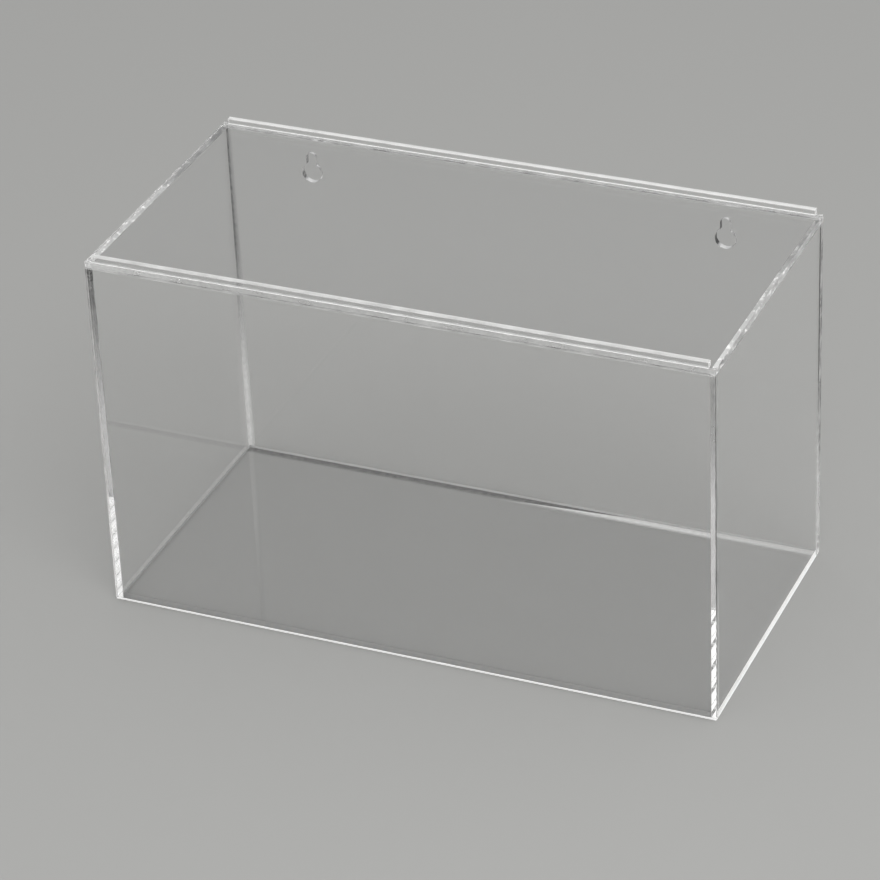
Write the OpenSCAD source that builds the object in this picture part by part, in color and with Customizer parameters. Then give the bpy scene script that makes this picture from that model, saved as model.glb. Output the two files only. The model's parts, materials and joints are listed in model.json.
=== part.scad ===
// Wall box with a sliding lid, glued up from clear acrylic sheet.
// The lid runs lengthways in two open-ended channels, one along the top of the front wall and one
// along the top of the back wall. Two keyholes in the back wall hang the box on screw heads.
// The origin is the middle of the underside: +X along the lid's travel, +Y to the wall, +Z up.

/* [Box] */
// Outside length, along the lid's travel
box_w = 300; // [200:1:600]
// Outside depth, from the front face to the wall
box_d = 148; // [80:1:300]
// Height of the four walls, up to the edges that the lid runs on
wall_h = 178; // [80:1:400]
// Thickness of the sheet that the walls and the base are cut from
sheet_t = 3; // [2.5:0.5:6]

/* [Lid] */
// Thickness of the lid
lid_t = 3; // [2:0.5:6]
// Running gap under the lid, and again over it
lid_gap = 0.15; // [0.1:0.05:0.4]
// Running gap between each long edge of the lid and its spacer strip
edge_gap = 0.3; // [0.2:0.05:0.8]

/* [Channel] */
// Height of the lip bars
lip_h = 3; // [2:0.5:6]
// How far each lip bar reaches over the lid's channel
lip_reach = 1.5; // [1:0.1:1.8]

/* [Keyholes] */
// Diameter of the round hole that a screw head passes
key_d = 10; // [7:0.5:14]
// Width of the slot that the screw's shank hangs in
slot_w = 5; // [3:0.5:6]
// Rise from the centre of the round hole to the centre of the slot's round end
slot_rise = 8; // [8:0.5:14]
// From each end of the box to the centre of its keyhole
key_in = 46; // [20:1:80]
// From the back wall's top edge down to the tip of each slot
tip_drop = 7; // [4:0.5:30]

/* [Hidden] */

// Colourless sheet, seen through
clear = [0.90, 0.94, 0.94, 0.35];
// The cut strips catch more light than the sheet's faces
cut_edge = [0.97, 0.98, 0.98, 0.60];
// How far a cut runs past the faces that it opens
overrun = 1;
$fn = 64;

// Inside of the four walls
inner_w = box_w - 2 * sheet_t;
inner_d = box_d - 2 * sheet_t;

// The channel: the spacer strip is as deep as the wall less the lip's reach, and the lid and its
// two running gaps set its height
spacer_d = sheet_t - lip_reach;
channel_h = lid_t + 2 * lid_gap;
lip_z = wall_h + channel_h;

// The lid fills the channel from spacer to spacer and closes the box from end to end
lid_d = box_d - 2 * (spacer_d + edge_gap);
lid_z = wall_h + lid_gap;

// Keyholes, seen square on to the back wall
key_x = box_w / 2 - key_in;
key_z = wall_h - tip_drop - slot_w / 2 - slot_rise;

// A flat piece, centred on x, with its near face at y and its underside at z
module slab(size, y, z) {
    translate([-size.x / 2, y, z])
        cube(size);
}

// A wall along the front or the back, as long as the box
module long_wall(y) {
    slab([box_w, sheet_t, wall_h], y, 0);
}

// An end wall, standing between the front wall and the back wall
module end_wall(side) {
    translate([side * (box_w - sheet_t) / 2, 0, 0])
        slab([sheet_t, inner_d, wall_h], -inner_d / 2, 0);
}

// A round hole through the back wall, along Y
module wall_bore(d, z) {
    translate([0, box_d / 2 + overrun, z])
        rotate([90, 0, 0])
            cylinder(d = d, h = sheet_t + 2 * overrun);
}

// Round hole below, narrow slot above, so the box drops on to its screws
module keyhole() {
    wall_bore(key_d, key_z);
    wall_bore(slot_w, key_z + slot_rise);
    slab([slot_w, sheet_t + 2 * overrun, slot_rise], box_d / 2 - sheet_t - overrun, key_z);
}

// Spaces the lip bar off its wall, flush with the wall's outer face
module spacer_strip(y) {
    slab([box_w, spacer_d, channel_h], y, wall_h);
}

// Lies on the spacer strip and reaches over the lid; it is as long as the box is inside
module lip_bar(y) {
    slab([inner_w, sheet_t, lip_h], y, lip_z);
}

module base_panel() {
    color(clear)
        slab([inner_w, inner_d, sheet_t], -inner_d / 2, 0);
}

module front_panel() {
    color(clear)
        long_wall(-box_d / 2);
}

module back_panel() {
    color(clear)
        difference() {
            long_wall(inner_d / 2);
            for (side = [-1, 1])
                translate([side * key_x, 0, 0])
                    keyhole();
        }
}

module left_side_panel() {
    color(clear)
        end_wall(-1);
}

module right_side_panel() {
    color(clear)
        end_wall(1);
}

module front_spacer_strip() {
    color(cut_edge)
        spacer_strip(-box_d / 2);
}

module back_spacer_strip() {
    color(cut_edge)
        spacer_strip(box_d / 2 - spacer_d);
}

module front_lip_bar() {
    color(cut_edge)
        lip_bar(-box_d / 2);
}

module back_lip_bar() {
    color(cut_edge)
        lip_bar(inner_d / 2);
}

module sliding_lid() {
    color(clear)
        slab([box_w, lid_d, lid_t], -lid_d / 2, lid_z);
}

base_panel();
front_panel();
back_panel();
left_side_panel();
right_side_panel();
front_spacer_strip();
back_spacer_strip();
front_lip_bar();
back_lip_bar();
sliding_lid();
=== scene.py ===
import json
import math
from typing import NamedTuple

import bmesh
import bpy
from bpy.props import FloatProperty, FloatVectorProperty, IntProperty, PointerProperty
from bpy.types import Operator, Panel, PropertyGroup
from mathutils import Matrix, Vector


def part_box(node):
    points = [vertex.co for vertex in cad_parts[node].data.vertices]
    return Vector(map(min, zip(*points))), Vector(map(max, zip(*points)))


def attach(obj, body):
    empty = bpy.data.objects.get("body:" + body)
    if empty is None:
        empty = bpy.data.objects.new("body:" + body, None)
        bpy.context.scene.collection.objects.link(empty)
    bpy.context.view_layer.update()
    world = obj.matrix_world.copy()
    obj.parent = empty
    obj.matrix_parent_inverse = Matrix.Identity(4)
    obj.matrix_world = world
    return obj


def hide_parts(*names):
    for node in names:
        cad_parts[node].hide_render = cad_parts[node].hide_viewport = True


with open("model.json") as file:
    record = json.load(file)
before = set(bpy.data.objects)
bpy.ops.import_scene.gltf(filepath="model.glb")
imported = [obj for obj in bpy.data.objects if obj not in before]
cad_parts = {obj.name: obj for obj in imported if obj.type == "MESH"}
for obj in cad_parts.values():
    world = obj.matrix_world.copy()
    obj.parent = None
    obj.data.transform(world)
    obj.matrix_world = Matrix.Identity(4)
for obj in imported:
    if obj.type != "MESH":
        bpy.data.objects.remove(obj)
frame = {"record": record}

bl_info = {
    "name": "Clear wall box",
    "version": (1, 0, 0),
    "blender": (4, 5, 0),
    "location": "View3D > Sidebar > Wall box",
    "description": "Dresses a welded acrylic wall box with a sliding lid in polished sheet and sawn edges",
    "category": "Object",
}

MM = 0.001
RIGHT, BACK, UP = (1, 0, 0), (0, 1, 0), (0, 0, 1)
ACRYLIC_IOR = 1.49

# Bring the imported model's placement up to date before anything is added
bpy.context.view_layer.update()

# Body that is welded up, body that slides in it, and the nodes of each
WELDED_BODY = "box"
LID_BODY = "lid"
BODIES = frame["record"]["behaviour"]["bodies"]

# Nodes cut from strip rather than sheet
STRIPS = [part["node"] for part in frame["record"]["subparts"] if part["material_slot"] == "clear_strip"]

# Nodes whose edges square to x, y and z show along the box's open ends
END_EDGES = (("sliding_lid",), (), ("left_side_panel", "right_side_panel"))

# Mount that holds the keyholes' place
KEYHOLES = next(m for m in frame["record"]["mounts"] if m["name"] == "wall_keyholes")

# Closer than this, two faces lie in one plane
TOUCH = 0.05 * MM
# A face looks along an axis if its normal has at least this much of it
SQUARE_ON = 0.99

# Finishes of the sheet's faces, edges and seams, in the order of a piece's list of materials,
# and what each gives the eye
FINISHES = (
    "cast_acrylic_polished",  # seen only by its reflections and its faint waves
    "cast_acrylic_polished_foot",  # the same, but it casts the shadow at the foot of the front wall
    "cast_acrylic_painted_shade_light_under",  # painted shade then painted light in a soft line along the back of the base, dark then pale
    "cast_acrylic_painted_light_shade_corner",  # painted light then painted shade in a soft line up the back left corner, pale then dark
    "cast_acrylic_scraped_edge",  # a glassy band with milky patches and fine cross marks
    "cast_acrylic_chipped_edge_painted_glints",  # the same, with painted glints on its chips, turning clear toward the back
    "cast_acrylic_sawn_edge",  # a duller band, evenly clouded
    "cast_acrylic_sawn_foot",  # a white glowing line along the floor
    "cast_acrylic_bored_hole",  # clear sides, and frost at the bottom and the tip
    "acrylic_weld_clear",  # hardly seen: a few bubbles
    "acrylic_weld_frosted",  # a pale even line between strip and bar, brightened by a painted glow
    "acrylic_weld_pitted",  # a bright white line face on, which fades at a low angle; its glow is painted light
    "acrylic_weld_white",  # a bright white line from all sides; its glow is painted light
    "acrylic_weld_grey_painted_glow",  # a grey line that hardly shows against the floor: painted grey and painted glow for the dim light seen along the base, with painted shade at its left end
    "acrylic_weld_painted_light_shade_left",  # painted light low down, and painted shade in a dark line above
    "acrylic_weld_painted_light_shade_right",  # painted light low down, and painted shade in a dark thread above
)
(POLISHED, POLISHED_FOOT, PAINTED_SHADE_LIGHT_UNDER, PAINTED_LIGHT_SHADE_CORNER, SCRAPED, CHIPPED_PAINTED_GLINTS, SAWN, FOOT, BORED,
 CLEAR, FROSTED, PITTED, WHITE, GREY_PAINTED_GLOW, PAINTED_LIGHT_SHADE_LEFT, PAINTED_LIGHT_SHADE_RIGHT) = range(len(FINISHES))

# Seams that the solvent didn't fill all the way, as the photograph shows them, some of them with painted
# light and painted shade. All others are clear.
# The first node of each pair stands back by the film, and its face carries the seam's finish.
SEAM_FINISHES = {
    ("front_lip_bar", "front_spacer_strip"): FROSTED,
    ("back_lip_bar", "back_spacer_strip"): FROSTED,
    ("base_panel", "right_side_panel"): PITTED,
    ("base_panel", "front_panel"): GREY_PAINTED_GLOW,
    ("base_panel", "left_side_panel"): GREY_PAINTED_GLOW,
    ("left_side_panel", "base_panel"): WHITE,
    ("base_panel", "back_panel"): GREY_PAINTED_GLOW,
    ("left_side_panel", "back_panel"): PAINTED_LIGHT_SHADE_LEFT,
    ("right_side_panel", "back_panel"): PAINTED_LIGHT_SHADE_RIGHT,
}


class Pits(NamedTuple):
    """What shows where a seam stayed dry or a band is painted, the least and the most of it that did, and
    its glow, which is painted light.
    """

    colour: tuple
    least: float
    most: float
    glow: float = 0.0


class Fade(NamedTuple):
    """A change along a way, between a start and an end that a point's dot product with it comes to."""

    way: tuple
    start: float
    end: float


def linear(hex_colour):
    """Linear colour of an sRGB hex value such as #C8CACB."""
    parts = [int(hex_colour[i:i + 2], 16) / 255 for i in (1, 3, 5)]
    return tuple(p / 12.92 if p <= 0.04045 else ((p + 0.055) / 1.055) ** 2.4 for p in parts)


class WallBoxMaking(PropertyGroup):
    """Sizes left by the cutting and scraping of the sheet."""

    arris: FloatProperty(
        name="Arris",
        description="Width of the scraped arris along every cut edge",
        default=0.15 * MM,
        unit="LENGTH",
    )
    film: FloatProperty(
        name="Film",
        description="Thickness of the film in a seam that the solvent didn't fill",
        default=0.02 * MM,
        unit="LENGTH",
    )
    slot_width: FloatProperty(
        name="Slot width",
        description="Width of a keyhole's slot",
        default=5 * MM,
        unit="LENGTH",
    )
    slot_rise: FloatProperty(
        name="Slot rise",
        description="From the centre of a keyhole's round hole to the centre of its slot's end",
        default=8 * MM,
        unit="LENGTH",
    )
    arc_points: IntProperty(
        name="Arc points",
        description="Points on the longer arc of a keyhole",
        default=56,
    )


class WallBoxFinish(PropertyGroup):
    """Colours and patterns of the acrylic."""

    sheet_colour: FloatVectorProperty(
        name="Sheet",
        description="Tint of the clear sheet",
        subtype="COLOR",
        default=linear("#FEFEFE"),
    )
    edge_colour: FloatVectorProperty(
        name="Sawn edge",
        description="Colour that a sawn edge scatters",
        subtype="COLOR",
        default=linear("#FAFAF9"),
    )
    # Painted shade: grey that stands in for the dim light seen along the base's edges, which the grey
    # seams' pits show with a painted glow
    grey_colour: FloatVectorProperty(
        name="Grey seam",
        description="Colour of the seams that stayed grey",
        subtype="COLOR",
        default=linear("#A8A8A6"),
    )
    # Painted shade: the dark of the back corner seams, of the painted bands, and of the grey seams' left
    # end
    painted_shade_colour: FloatVectorProperty(
        name="Dark seam",
        description="Colour of a seam whose pits lie in the dark",
        subtype="COLOR",
        default=linear("#505050"),
    )
    # Heights at which the back corner seams turn from painted light to painted shade
    painted_light_to: FloatProperty(
        name="Pale up to",
        description="Height up to which the back left corner's seam is pale",
        default=40 * MM,
        unit="LENGTH",
    )
    painted_shade_from: FloatProperty(
        name="Dark from",
        description="Height above which the back left corner's seam is dark",
        default=115 * MM,
        unit="LENGTH",
    )
    right_painted_light_to: FloatProperty(
        name="Right pale up to",
        description="Height up to which the back right corner's seam is pale",
        default=60 * MM,
        unit="LENGTH",
    )
    right_painted_shade_from: FloatProperty(
        name="Right dark from",
        description="Height above which the back right corner's seam is dark",
        default=115 * MM,
        unit="LENGTH",
    )
    # Painted shade and light: how far the painted bands reach from a seam over the polished faces, and the
    # length of the painted dark at the grey seams' left end
    painted_band_reach: FloatProperty(
        name="Crept",
        description="How far solvent crept from a seam over the polished faces beside it",
        default=5 * MM,
        unit="LENGTH",
    )
    # Where, and over what length, the painted shade under the base turns to painted light
    shade_turns_to_light_at: FloatProperty(
        name="Turns pale at",
        description="From the middle to where the crept solvent under the base turns from dark to pale",
        default=-20 * MM,
        unit="LENGTH",
    )
    shade_to_light_turn: FloatProperty(
        name="Turn's length",
        description="Length over which the crept solvent under the base turns from dark to pale",
        default=10 * MM,
        unit="LENGTH",
    )
    piped_light: FloatProperty(
        name="Piped light",
        description="Glow of white edges: light that the sheet pipes to them, which the render's rays miss",
        default=0.45,
    )
    # Real chips are a few tenths of a millimetre, too fine to show, so they are drawn this coarse, as spots
    # of painted glint
    chip_size: FloatProperty(
        name="Chip size",
        description="Size of the chips along a cut edge that catch the light",
        default=2.4 * MM,
        unit="LENGTH",
    )
    chips_to: FloatProperty(
        name="Chips to",
        description="From the middle of an end to where its chips would fade out, past its back",
        default=110 * MM,
        unit="LENGTH",
    )
    passed_colour: FloatVectorProperty(
        name="Let through by a face",
        description="Share of the light that gets through a polished face of the sheet",
        subtype="COLOR",
        default=(0.9, 0.9, 0.9),
    )
    passed_by_edge: FloatVectorProperty(
        name="Let through by an edge",
        description="Share of the light that gets through a cut edge or a seam",
        subtype="COLOR",
        default=(0.8, 0.8, 0.8),
    )
    passed_by_foot: FloatVectorProperty(
        name="Let through at the foot",
        description="Share of the light that gets past the base's edges to the floor beside them",
        subtype="COLOR",
        default=(0.1, 0.1, 0.1),
    )
    # A real saw's marks are too fine to show, so they are drawn this coarse
    saw_pitch: FloatProperty(
        name="Saw pitch",
        description="Spacing of the saw's marks along a cut edge",
        default=0.8 * MM,
        unit="LENGTH",
    )
    patch_length: FloatProperty(
        name="Patch length",
        description="Length of the clearer and whiter patches along a cut edge",
        default=12 * MM,
        unit="LENGTH",
    )
    wave_length: FloatProperty(
        name="Casting wave",
        description="Length of the faint waves that casting leaves in the sheet",
        default=90 * MM,
        unit="LENGTH",
    )
    # Single bubbles are too fine to show, so this is the size of a patch of them
    bubble_size: FloatProperty(
        name="Bubble size",
        description="Size of the dry patches left in a welded seam",
        default=2.5 * MM,
        unit="LENGTH",
    )


class WallBoxStage(PropertyGroup):
    """The floor, the light and the camera."""

    floor_colour: FloatVectorProperty(
        name="Floor",
        description="Colour of the plain floor",
        subtype="COLOR",
        default=linear("#ADADAB"),
    )
    floor_size: FloatProperty(
        name="Floor size",
        description="Side of the square floor",
        default=40.0,
        unit="LENGTH",
    )
    floor_drop: FloatProperty(
        name="Floor drop",
        description="How far the floor lies under the box, so that no two faces share a plane",
        default=0.05 * MM,
        unit="LENGTH",
    )
    softbox_power: FloatProperty(
        name="Softbox power",
        description="Power of the softbox over the box, in watts",
        default=14.0,
    )
    softbox_place: FloatVectorProperty(
        name="Softbox place",
        description="Where the softbox hangs",
        subtype="TRANSLATION",
        default=(0.9, -0.9, 1.6),
    )
    softbox_target: FloatVectorProperty(
        name="Softbox target",
        description="Point that the softbox is turned to",
        subtype="TRANSLATION",
        default=(0, 0, 0.1),
    )
    softbox_size: FloatVectorProperty(
        name="Softbox size",
        description="Width and height of the softbox",
        size=2,
        unit="LENGTH",
        default=(1.2, 0.8),
    )
    key_side: FloatVectorProperty(
        name="Key side",
        description="Direction that most of the studio's light comes from",
        subtype="DIRECTION",
        default=(0.35, -0.45, 0.82),
    )
    sky_high: FloatProperty(
        name="Key side's strength",
        description="Strength of the studio's light from the key side",
        default=1.35,
    )
    sky_low: FloatProperty(
        name="Far side's strength",
        description="Strength of the studio's light from the far side",
        default=0.35,
    )
    camera_place: FloatVectorProperty(
        name="Camera place",
        description="Where the camera stands",
        subtype="TRANSLATION",
        default=(0.6327, -1.4472, 1.0289),
    )
    camera_target: FloatVectorProperty(
        name="Camera target",
        description="Point in the middle of the picture",
        subtype="TRANSLATION",
        default=(-0.0072, -0.0103, 0.0793),
    )
    camera_roll: FloatProperty(
        name="Camera roll",
        description="Turn of the camera about its line of sight",
        subtype="ANGLE",
        default=math.radians(-2.59),
    )
    camera_lens: FloatProperty(
        name="Lens",
        description="Focal length on a sensor 36 mm wide",
        default=162.4,
    )


def add(tree, kind, settings=None, **links):
    """Adds a node to a tree. settings are its own values, and links its inputs, as sockets or values."""
    node = tree.nodes.new(kind)
    for name, value in (settings or {}).items():
        setattr(node, name, value)
    for name, value in links.items():
        socket = node.inputs[int(name[1:])] if name[1:].isdigit() else node.inputs[name.replace("_", " ")]
        if isinstance(value, bpy.types.NodeSocket):
            tree.links.new(value, socket)
        else:
            socket.default_value = value
    return node


def new_material(name):
    """An empty material and its node tree."""
    material = bpy.data.materials.new(name)
    material.use_nodes = True
    material.node_tree.nodes.clear()
    return material, material.node_tree


def show(tree, shader):
    """Makes shader what the material shows."""
    add(tree, "ShaderNodeOutputMaterial", Surface=shader)


def let_light_by(tree, shader, passed):
    """Lets lamps and bounced light straight through a clear face, as a thin sheet does."""
    path = add(tree, "ShaderNodeLightPath").outputs
    either = add(tree, "ShaderNodeMath", {"operation": "MAXIMUM"},
                 i0=path["Is Shadow Ray"], i1=path["Is Diffuse Ray"])
    clear = add(tree, "ShaderNodeBsdfTransparent", Color=(*passed, 1))
    return add(tree, "ShaderNodeMixShader",
               i0=either.outputs[0], i1=shader, i2=clear.outputs[0]).outputs[0]


def measure(tree, fade):
    """A value that goes from 0 to 1 along a fade."""
    place = add(tree, "ShaderNodeTexCoord").outputs["Object"]
    along = add(tree, "ShaderNodeVectorMath", {"operation": "DOT_PRODUCT"}, i0=place, i1=fade.way)
    return add(tree, "ShaderNodeMapRange", Value=along.outputs["Value"],
               i1=fade.start, i2=fade.end, i3=0.0, i4=1.0).outputs["Result"]


def polished_face(tree, finish):
    """Face of cast sheet as it left the mould: clear, glossy, very slightly wavy."""
    place = add(tree, "ShaderNodeTexCoord").outputs["Object"]
    waves = add(tree, "ShaderNodeTexNoise", Vector=place, Scale=1 / finish.wave_length, Detail=1.0)
    bump = add(tree, "ShaderNodeBump", Height=waves.outputs["Fac"], Strength=0.15, Distance=0.1 * MM)
    return add(tree, "ShaderNodeBsdfPrincipled", Base_Color=(*finish.sheet_colour, 1), IOR=ACRYLIC_IOR,
               Roughness=0.01, Transmission_Weight=1.0, Normal=bump.outputs["Normal"]).outputs[0]


def dry_pits(tree, finish, near, far, fade):
    """Share of a seam that stayed dry, and what shows in its pits: near at the fade's start, and far at its
    end, or near all along where there is no far. Where there is a far, the change from near to far is
    painted shade and light, and any glow is painted light."""
    place = add(tree, "ShaderNodeTexCoord").outputs["Object"]
    patches = add(tree, "ShaderNodeTexNoise", Vector=place, Scale=1 / finish.bubble_size, Detail=3.0)
    # The noise lies mostly between 0.4 and 0.65
    ends = [add(tree, "ShaderNodeMapRange", Value=patches.outputs["Fac"],
                i1=0.4, i2=0.65, i3=pits.least, i4=pits.most).outputs["Result"]
            for pits in ([near, far] if far else [near])]
    dry, tone, glow = ends[0], (*near.colour, 1), near.glow
    if far:
        climb = measure(tree, fade)
        dry = add(tree, "ShaderNodeMix", i0=climb, i2=ends[0], i3=ends[1]).outputs[0]
        tone = add(tree, "ShaderNodeMix", {"data_type": "RGBA"}, Factor=climb,
                   i6=tone, i7=(*far.colour, 1)).outputs[2]
        if near.glow != far.glow:
            glow = add(tree, "ShaderNodeMix", i0=climb, i2=near.glow, i3=far.glow).outputs[0]
    pits = add(tree, "ShaderNodeBsdfPrincipled", Base_Color=tone, Roughness=0.7, IOR=ACRYLIC_IOR,
               Specular_IOR_Level=0.0, Emission_Color=(*finish.edge_colour, 1), Emission_Strength=glow)
    return dry, pits.outputs[0]


def polished_cast_acrylic(finish, name, passed):
    """Cast acrylic sheet with clean faces."""
    material, tree = new_material(name)
    show(tree, let_light_by(tree, polished_face(tree, finish), passed))


def painted_shade_light_band(finish, name, near, far, fade, border, passed):
    """A polished face with a painted band of shade and light beside a seam, up to the fade at its border.
    """
    material, tree = new_material(name)
    dry, pits = dry_pits(tree, finish, near, far, fade)
    share = add(tree, "ShaderNodeMath", {"operation": "MULTIPLY"}, i0=dry, i1=measure(tree, border))
    face = add(tree, "ShaderNodeMixShader", i0=share.outputs[0], i1=polished_face(tree, finish), i2=pits)
    show(tree, let_light_by(tree, face.outputs[0], passed))


def cut_edge(finish, name, least_clear, most_clear, roughness, piped=0.0, painted_glints=None):
    """An edge as a tool left it: marks across it, and patches from least to most clear along it. piped is a
    painted glow, and the last argument gives the chips a painted glint and the fade from the glints and the
    patches to a clear edge toward the back."""
    material, tree = new_material(name)
    place = add(tree, "ShaderNodeUVMap").outputs["UV"]
    across = add(tree, "ShaderNodeMapping", Vector=place,
                 Scale=(1 / finish.saw_pitch, 0.15 / finish.saw_pitch, 1))
    marks = add(tree, "ShaderNodeTexNoise", Vector=across.outputs["Vector"], Scale=1.0, Detail=2.0)
    along = add(tree, "ShaderNodeTexNoise", Vector=place, Scale=1 / finish.patch_length, Detail=3.0)
    clear = add(tree, "ShaderNodeMapRange", Value=along.outputs["Fac"],
                i1=0.35, i2=0.65, i3=least_clear, i4=most_clear).outputs["Result"]
    glow = piped
    if painted_glints:
        painted_glint, back_fade = painted_glints[0], measure(tree, painted_glints[1])
        clear = add(tree, "ShaderNodeMix", i0=back_fade, i2=clear, i3=0.97).outputs[0]
        spots = add(tree, "ShaderNodeTexNoise", Vector=place, Scale=1 / finish.chip_size, Detail=1.0)
        painted_shine = add(tree, "ShaderNodeMapRange", Value=spots.outputs["Fac"],
                    i1=0.58, i2=0.68, i3=0.0, i4=painted_glint)
        glow = add(tree, "ShaderNodeMix", i0=back_fade, i2=painted_shine.outputs["Result"], i3=0.0).outputs[0]
    bump = add(tree, "ShaderNodeBump", Height=marks.outputs["Fac"], Strength=0.3, Distance=0.1 * MM)
    edge = add(tree, "ShaderNodeBsdfPrincipled", Base_Color=(*finish.edge_colour, 1), IOR=ACRYLIC_IOR,
               Roughness=roughness, Transmission_Weight=clear, Normal=bump.outputs["Normal"],
               Emission_Color=(*finish.edge_colour, 1), Emission_Strength=glow)
    show(tree, let_light_by(tree, edge.outputs[0], finish.passed_by_edge))


def bored_hole(finish):
    """Wall of a drilled and routed hole: clear along its sides, frosted at the bottom and the tip."""
    material, tree = new_material("cast_acrylic_bored_hole")
    facing = add(tree, "ShaderNodeTexCoord").outputs["Normal"]
    up = add(tree, "ShaderNodeSeparateXYZ", Vector=facing).outputs["Z"]
    level = add(tree, "ShaderNodeMath", {"operation": "ABSOLUTE"}, i0=up)
    clear = add(tree, "ShaderNodeMapRange", Value=level.outputs[0], i1=0.6, i2=0.9, i3=1.0, i4=0.1)
    wall = add(tree, "ShaderNodeBsdfPrincipled", Base_Color=(*finish.sheet_colour, 1), IOR=ACRYLIC_IOR,
               Roughness=0.12, Transmission_Weight=clear.outputs["Result"])
    show(tree, let_light_by(tree, wall.outputs[0], finish.passed_by_edge))


def solvent_weld(finish, name, passed, near, far=None, fade=None, face_on=False):
    """A seam run together with solvent: clear where it wetted, and white to dark where it stayed dry; in
    the back corner seams, pale low down and dark above are painted light and painted shade. Pits that show
    face on only let the light slip between them at a low angle."""
    material, tree = new_material(name)
    share, pits = dry_pits(tree, finish, near, far, fade)
    if face_on:
        low_angle = add(tree, "ShaderNodeLayerWeight", Blend=0.5).outputs["Facing"]
        faced = add(tree, "ShaderNodeMapRange", Value=low_angle, i1=0.45, i2=0.7, i3=1.0, i4=0.0)
        share = add(tree, "ShaderNodeMath", {"operation": "MULTIPLY"},
                    i0=share, i1=faced.outputs["Result"]).outputs[0]
    clear = add(tree, "ShaderNodeBsdfTransparent")
    seam = add(tree, "ShaderNodeMixShader", i0=share, i1=clear.outputs[0], i2=pits)
    show(tree, let_light_by(tree, seam.outputs[0], passed))


def seated_box(node, film):
    """A node's low and high corners, drawn back where it carries the film of a dry seam."""
    low, high = (Vector(corner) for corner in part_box(node))
    for first, other in SEAM_FINISHES:
        if first != node:
            continue
        other_low, other_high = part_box(other)
        for axis in range(3):
            if abs(high[axis] - other_low[axis]) < TOUCH:
                high[axis] -= film
            elif abs(low[axis] - other_high[axis]) < TOUCH:
                low[axis] += film
    return low, high


def welded_faces(node, arris):
    """Where a node is welded: axis across the seam, its place, its low and high corners, and its finish."""
    low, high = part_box(node)
    seams = []
    for other in BODIES[WELDED_BODY]:
        if other == node or node not in BODIES[WELDED_BODY]:
            continue
        other_low, other_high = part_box(other)
        corner_low = Vector(max(pair) + arris for pair in zip(low, other_low))
        corner_high = Vector(min(pair) - arris for pair in zip(high, other_high))
        for axis in range(3):
            across = [a for a in range(3) if a != axis]
            if any(corner_high[a] - corner_low[a] < arris for a in across):
                continue
            for mine, theirs in ((high[axis], other_low[axis]), (low[axis], other_high[axis])):
                if abs(mine - theirs) < TOUCH:
                    finish = SEAM_FINISHES.get((node, other), CLEAR)
                    seams.append((axis, mine, corner_low, corner_high, finish))
    return seams


def keyhole_outline(making, centre):
    """Points round a keyhole, as (along, up) from the panel's own origin: round hole below, slot above."""
    radius = KEYHOLES["dims"]["hole_r_mm"] * MM
    half_slot = making.slot_width / 2
    mouth = math.asin(half_slot / radius)
    turn = 2 * math.pi - 2 * mouth
    points = []
    for i in range(making.arc_points):
        angle = math.pi / 2 - mouth - turn * i / (making.arc_points - 1)
        points.append((radius * math.cos(angle), radius * math.sin(angle)))
    tip_points = making.arc_points // 2
    for i in range(tip_points):
        angle = math.pi - math.pi * i / (tip_points - 1)
        points.append((half_slot * math.cos(angle), making.slot_rise + half_slot * math.sin(angle)))
    return [(centre[0] + x, centre[1] + z) for x, z in points]


def outline_sheet(low, size, thin, wide, outlines):
    """A flat sheet from its outlines: the first is its edge, and the others are holes through it."""
    bm = bmesh.new()
    for outline in outlines:
        loop = []
        for along, up in outline:
            place = Vector(low)
            place[wide[0]], place[wide[1]] = along, up
            loop.append(bm.verts.new(place))
        for first, second in zip(loop, loop[1:] + loop[:1]):
            bm.edges.new((first, second))
    bmesh.ops.triangle_fill(bm, use_beauty=True, use_dissolve=False, edges=bm.edges[:])
    far = bmesh.ops.extrude_face_region(bm, geom=bm.faces[:])
    move = Vector((0, 0, 0))
    move[thin] = size[thin]
    bmesh.ops.translate(bm, vec=move, verts=[v for v in far["geom"] if isinstance(v, bmesh.types.BMVert)])
    bmesh.ops.dissolve_limit(bm, angle_limit=math.radians(0.5), verts=bm.verts[:], edges=bm.edges[:])
    bmesh.ops.recalc_face_normals(bm, faces=bm.faces[:])
    return bm


def cut_at_seams(bm, low, high, seams, arris):
    """Cuts the faces along the borders of the seams."""
    for axis, _, seam_low, seam_high, _ in seams:
        for across in range(3):
            for border in (seam_low[across], seam_high[across]):
                if across == axis or not low[across] + 2 * arris < border < high[across] - 2 * arris:
                    continue
                normal = Vector((0, 0, 0))
                normal[across] = 1
                bmesh.ops.bisect_plane(bm, geom=bm.verts[:] + bm.edges[:] + bm.faces[:], dist=TOUCH / 10,
                                       plane_co=normal * border, plane_no=normal)


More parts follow.
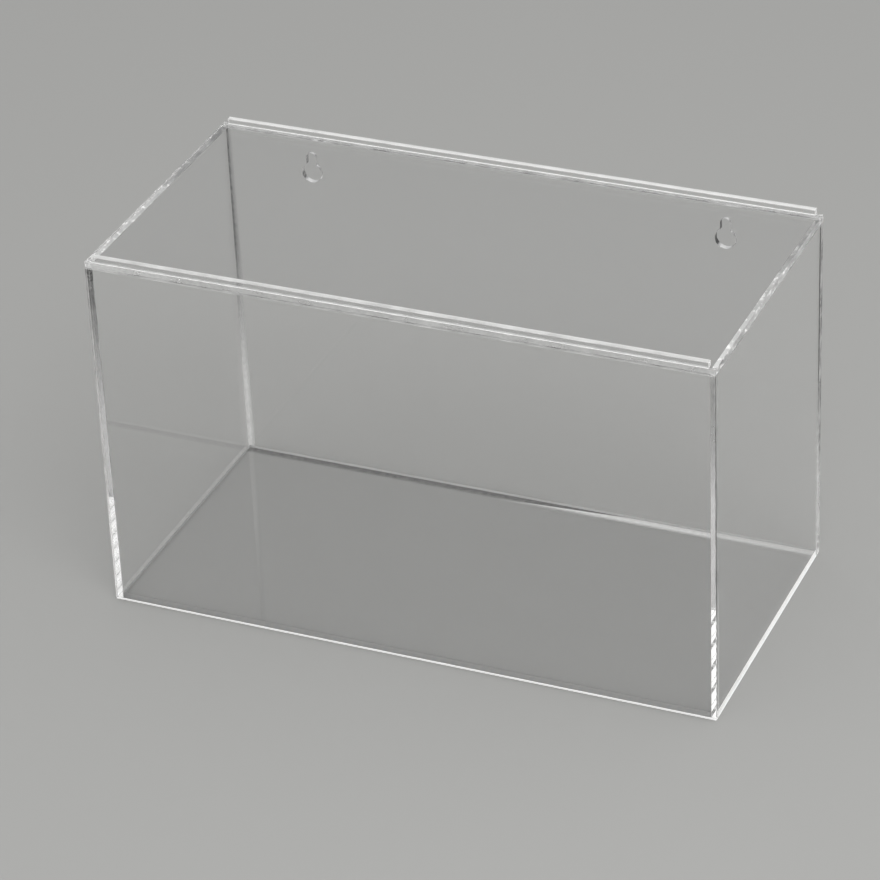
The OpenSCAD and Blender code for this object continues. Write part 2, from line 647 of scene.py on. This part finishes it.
def face_finish(face, node, low, high, thin, seams):
    """Finish of one face of a piece."""
    middle = face.calc_center_median()
    axis = max(range(3), key=lambda a: abs(face.normal[a]))
    square_on = abs(face.normal[axis]) > SQUARE_ON
    for seam_axis, place, seam_low, seam_high, finish in seams:
        across = [a for a in range(3) if a != seam_axis]
        if (square_on and axis == seam_axis and abs(middle[axis] - place) < TOUCH
                and all(seam_low[a] - TOUCH < middle[a] < seam_high[a] + TOUCH for a in across)):
            return finish
    if square_on and axis == thin:
        if face.normal[axis] > 0:
            return POLISHED
        # Low on the front wall's outer face, light runs along in the base behind it
        if node == "front_panel" and middle.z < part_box("base_panel")[1].z:
            return POLISHED_FOOT
        # The base's underside and the back wall's inner face carry painted bands of shade and light
        return {"base_panel": PAINTED_SHADE_LIGHT_UNDER, "back_panel": PAINTED_LIGHT_SHADE_CORNER}.get(node, POLISHED)
    inside = all(low[a] + MM < middle[a] < high[a] - MM for a in range(3) if a != thin)
    if inside:
        return BORED
    # The front wall's right end was polished
    if node == "front_panel" and square_on and axis == 0 and face.normal.x > 0:
        return POLISHED
    # The strips' long edges and the edges that the box stands on were left as sawn
    if square_on and axis == 2 and (node in STRIPS or (face.normal.z < 0 and low.z < TOUCH)):
        return SAWN if node in STRIPS else FOOT
    # The lid's ends and the edges under them get chips with painted glints
    return CHIPPED_PAINTED_GLINTS if node in END_EDGES[axis] else SCRAPED


def lay_grain(bm, thin):
    """Grain of a cut edge in metres: u along the edge, v across it."""
    grain = bm.loops.layers.uv.new("grain")
    for face in bm.faces:
        axis = max(range(3), key=lambda a: abs(face.normal[a]))
        first, second = [a for a in range(3) if a != axis]
        if first == thin:
            first, second = second, first
        for loop in face.loops:
            loop[grain].uv = (loop.vert.co[first], loop.vert.co[second])


def cut_sheet(node, making, finishes, holes=()):
    """A piece of sheet as its node has it: arrises scraped, and each face in the finish it was left in."""
    low, high = seated_box(node, making.film)
    size = high - low
    thin = min(range(3), key=lambda a: round(size[a] / TOUCH))
    wide = [a for a in range(3) if a != thin]
    corners = [(low[wide[0]], low[wide[1]]), (high[wide[0]], low[wide[1]]),
               (high[wide[0]], high[wide[1]]), (low[wide[0]], high[wide[1]])]
    bm = outline_sheet(low, size, thin, wide, [corners, *holes])
    # The base is welded all round, so its edges were left sharp
    if node != "base_panel":
        rim = [e for e in bm.edges if e.calc_face_angle(0) > math.radians(30)]
        bmesh.ops.bevel(bm, geom=rim, offset=making.arris, segments=1, affect="EDGES", clamp_overlap=True)
    seams = welded_faces(node, making.arris)
    cut_at_seams(bm, low, high, seams, making.arris)
    lay_grain(bm, thin)
    for face in bm.faces:
        face.material_index = face_finish(face, node, low, high, thin, seams)
        face.smooth = max(abs(c) for c in face.normal) < SQUARE_ON
    mesh = bpy.data.meshes.new(node)
    bm.to_mesh(mesh)
    bm.free()
    piece = bpy.data.objects.new(node + "_sheet", mesh)
    bpy.context.scene.collection.objects.link(piece)
    for material in finishes:
        mesh.materials.append(material)
    mesh.set_sharp_from_angle(angle=math.radians(25))
    return piece


def dress(node, body, holes=()):
    """Cuts one node's piece and puts it in the node's place."""
    scene = bpy.context.scene
    finishes = [bpy.data.materials[name] for name in FINISHES]
    piece = cut_sheet(node, scene.wall_box_making, finishes, holes)
    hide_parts(node)
    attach(piece, body)


def mix_faces(finish):
    """Finishes of the sheet's own faces."""
    polished_cast_acrylic(finish, "cast_acrylic_polished", finish.passed_colour)
    polished_cast_acrylic(finish, "cast_acrylic_polished_foot", finish.passed_by_foot)
    pale, dark, painted_band_reach = finish.edge_colour, finish.painted_shade_colour, finish.painted_band_reach
    low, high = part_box("base_panel")
    # Under the base the painted shade gives way to painted light along a slant, which runs away to the
    # right
    slant = 15
    across = -slant * (high.y - painted_band_reach)
    half_turn = finish.shade_to_light_turn / 2
    along_back = Fade((1, -slant, 0), across + finish.shade_turns_to_light_at - half_turn,
                      across + finish.shade_turns_to_light_at + half_turn)
    painted_shade_light_band(finish, "cast_acrylic_painted_shade_light_under", Pits(dark, 0.5, 0.7), Pits(pale, 0.8, 0.9, 0.1),
                  along_back, Fade(BACK, high.y - painted_band_reach, high.y - 0.5 * painted_band_reach), finish.passed_colour)
    # Up the corner the painted band reaches a little less far, by 1 in 100
    painted_shade_light_band(finish, "cast_acrylic_painted_light_shade_corner", Pits(pale, 0.6, 0.7, 0.12), Pits(dark, 0.5, 0.7),
                  Fade(UP, finish.painted_light_to, finish.painted_shade_from),
                  Fade((1, 0, 0.01), low.x + 0.7 * painted_band_reach, low.x + 0.2 * painted_band_reach), finish.passed_colour)


def mix_edges(finish):
    """Finishes of the cut edges, from scraped and nearly clear to sawn and white."""
    cut_edge(finish, "cast_acrylic_scraped_edge", 0.4, 0.85, 0.25)
    cut_edge(finish, "cast_acrylic_chipped_edge_painted_glints", 0.25, 0.85, 0.3,
             painted_glints=(0.6, Fade(BACK, 0.0, finish.chips_to)))
    cut_edge(finish, "cast_acrylic_sawn_edge", 0.45, 0.75, 0.45)
    cut_edge(finish, "cast_acrylic_sawn_foot", 0.0, 0.1, 0.45, finish.piped_light)
    bored_hole(finish)


def mix_seams(finish):
    """Finishes of the welded seams. Where pits glow, it is painted light, by a share of the piped light."""
    pale, grey, dark = finish.edge_colour, finish.grey_colour, finish.painted_shade_colour
    edge, piped = finish.passed_by_edge, finish.piped_light
    white = Pits(pale, 0.75, 0.95, 1.6 * piped)
    solvent_weld(finish, "acrylic_weld_clear", edge, Pits(pale, 0.0, 0.1))
    solvent_weld(finish, "acrylic_weld_frosted", edge, Pits(pale, 0.75, 0.95, 0.6 * piped))
    solvent_weld(finish, "acrylic_weld_pitted", edge, white, face_on=True)
    solvent_weld(finish, "acrylic_weld_white", edge, white)
    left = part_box("base_panel")[0].x
    # The grey seams: painted shade at the left end turning to painted grey, both with a painted glow
    solvent_weld(finish, "acrylic_weld_grey_painted_glow", finish.passed_by_foot, Pits(dark, 0.8, 0.95, 0.35 * piped),
                 Pits(grey, 0.8, 0.95, 0.25 * piped), Fade(RIGHT, left, left + finish.painted_band_reach))
    solvent_weld(finish, "acrylic_weld_painted_light_shade_left", edge, Pits(pale, 0.7, 0.95), Pits(dark, 0.7, 0.95),
                 Fade(UP, finish.painted_light_to, finish.painted_shade_from))
    solvent_weld(finish, "acrylic_weld_painted_light_shade_right", edge, Pits(pale, 0.7, 0.95), Pits(dark, 0.2, 0.45),
                 Fade(UP, finish.right_painted_light_to, finish.right_painted_shade_from))


class WALLBOX_OT_finishes(Operator):
    """Mix the acrylic's finishes"""

    bl_idname = "wallbox.finishes"
    bl_label = "Finishes"

    def execute(self, context):
        finish = context.scene.wall_box_finish
        mix_faces(finish)
        mix_edges(finish)
        mix_seams(finish)
        return {"FINISHED"}


class WALLBOX_OT_walls(Operator):
    """Cut and weld the base, the front wall and the two end walls"""

    bl_idname = "wallbox.walls"
    bl_label = "Base and walls"

    def execute(self, context):
        for node in ("base_panel", "front_panel", "left_side_panel", "right_side_panel"):
            dress(node, WELDED_BODY)
        return {"FINISHED"}


class WALLBOX_OT_back(Operator):
    """Cut the back wall with its two keyholes"""

    bl_idname = "wallbox.back"
    bl_label = "Back wall"

    def execute(self, context):
        making = context.scene.wall_box_making
        middle_x, _, height = KEYHOLES["pos_m"]
        half_spacing = KEYHOLES["dims"]["spacing_x_mm"] * MM / 2
        holes = [keyhole_outline(making, (middle_x + side * half_spacing, height)) for side in (-1, 1)]
        dress("back_panel", WELDED_BODY, holes)
        return {"FINISHED"}


class WALLBOX_OT_rails(Operator):
    """Cut the spacer strips and the lip bars that hold the lid"""

    bl_idname = "wallbox.rails"
    bl_label = "Rails"

    def execute(self, context):
        for node in ("front_spacer_strip", "back_spacer_strip", "front_lip_bar", "back_lip_bar"):
            dress(node, WELDED_BODY)
        return {"FINISHED"}


class WALLBOX_OT_lid(Operator):
    """Cut the sliding lid"""

    bl_idname = "wallbox.lid"
    bl_label = "Lid"

    def execute(self, context):
        dress("sliding_lid", LID_BODY)
        return {"FINISHED"}


def aim(thing, place, target, roll):
    """Stands a camera or lamp at place, looking at target, turned by roll about its line of sight."""
    ahead = (Vector(target) - Vector(place)).normalized()
    level = ahead.cross(Vector((0, 0, 1))).normalized()
    upright = level.cross(ahead)
    right = level * math.cos(roll) + upright * math.sin(roll)
    up = upright * math.cos(roll) - level * math.sin(roll)
    turn = Matrix((right, up, -ahead)).transposed()
    thing.matrix_world = Matrix.Translation(place) @ turn.to_4x4()


def studio_floor(stage):
    """Matt painted board: flat and even, with hardly any sheen."""
    material, tree = new_material("matt_board")
    board = add(tree, "ShaderNodeBsdfPrincipled", Base_Color=(*stage.floor_colour, 1), Roughness=0.85)
    show(tree, board.outputs[0])
    mesh = bpy.data.meshes.new("floor")
    half = stage.floor_size / 2
    corners = [(-half, -half, 0), (half, -half, 0), (half, half, 0), (-half, half, 0)]
    mesh.from_pydata(corners, [], [(0, 1, 2, 3)])
    mesh.materials.append(material)
    floor = bpy.data.objects.new("floor", mesh)
    floor.location.z = -stage.floor_drop
    bpy.context.scene.collection.objects.link(floor)


def studio_light(stage):
    """A softbox over the box, and a grey studio that is brightest on the key side."""
    world = bpy.data.worlds.new("studio")
    bpy.context.scene.world = world
    world.use_nodes = True
    tree = world.node_tree
    tree.nodes.clear()
    way = add(tree, "ShaderNodeTexCoord").outputs["Generated"]
    toward_key = add(tree, "ShaderNodeVectorMath", {"operation": "DOT_PRODUCT"}, i0=way, i1=stage.key_side)
    strength = add(tree, "ShaderNodeMapRange", Value=toward_key.outputs["Value"],
                   i1=0.0, i2=1.0, i3=stage.sky_low, i4=stage.sky_high)
    sky = add(tree, "ShaderNodeBackground", Strength=strength.outputs["Result"])
    add(tree, "ShaderNodeOutputWorld", Surface=sky.outputs[0])
    lamp = bpy.data.lights.new("softbox", "AREA")
    lamp.shape = "RECTANGLE"
    lamp.size, lamp.size_y = stage.softbox_size
    lamp.energy = stage.softbox_power
    softbox = bpy.data.objects.new("softbox", lamp)
    bpy.context.scene.collection.objects.link(softbox)
    aim(softbox, stage.softbox_place, stage.softbox_target, 0)


class WALLBOX_OT_stage(Operator):
    """Lay the floor, light it and stand the camera where the photograph was taken"""

    bl_idname = "wallbox.stage"
    bl_label = "Stage"

    def execute(self, context):
        stage = context.scene.wall_box_stage
        studio_floor(stage)
        studio_light(stage)
        lens = bpy.data.cameras.new("camera")
        lens.lens = stage.camera_lens
        camera = bpy.data.objects.new("camera", lens)
        context.scene.collection.objects.link(camera)
        aim(camera, stage.camera_place, stage.camera_target, stage.camera_roll)
        context.scene.camera = camera
        context.scene.view_settings.view_transform = "Standard"
        # Light runs along the sheet in many short bounces before it leaves at an edge
        context.scene.cycles.max_bounces = 28
        context.scene.cycles.glossy_bounces = 24
        context.scene.cycles.transmission_bounces = 24
        context.scene.cycles.transparent_max_bounces = 24
        return {"FINISHED"}


STEPS = (
    WALLBOX_OT_finishes,
    WALLBOX_OT_walls,
    WALLBOX_OT_back,
    WALLBOX_OT_rails,
    WALLBOX_OT_lid,
    WALLBOX_OT_stage,
)


class WALLBOX_PT_panel(Panel):
    """Sizes, finishes and steps of the wall box"""

    bl_idname = "WALLBOX_PT_panel"
    bl_label = "Wall box"
    bl_space_type = "VIEW_3D"
    bl_region_type = "UI"
    bl_category = "Wall box"

    def draw(self, context):
        for group in ("wall_box_making", "wall_box_finish", "wall_box_stage"):
            settings = getattr(context.scene, group)
            box = self.layout.box()
            for name in settings.bl_rna.properties.keys():
                if name not in ("rna_type", "name"):
                    box.prop(settings, name)
        for step in STEPS:
            self.layout.operator(step.bl_idname)


GROUPS = {
    "wall_box_making": WallBoxMaking,
    "wall_box_finish": WallBoxFinish,
    "wall_box_stage": WallBoxStage,
}
CLASSES = (*GROUPS.values(), *STEPS, WALLBOX_PT_panel)


def register():
    for each in CLASSES:
        bpy.utils.register_class(each)
    for name, group in GROUPS.items():
        setattr(bpy.types.Scene, name, PointerProperty(type=group))


def unregister():
    for name in GROUPS:
        delattr(bpy.types.Scene, name)
    for each in reversed(CLASSES):
        bpy.utils.unregister_class(each)


def main():
    register()
    bpy.ops.wallbox.finishes()
    bpy.ops.wallbox.walls()
    bpy.ops.wallbox.back()
    bpy.ops.wallbox.rails()
    bpy.ops.wallbox.lid()
    bpy.ops.wallbox.stage()


if __name__ == "__main__":
    main()
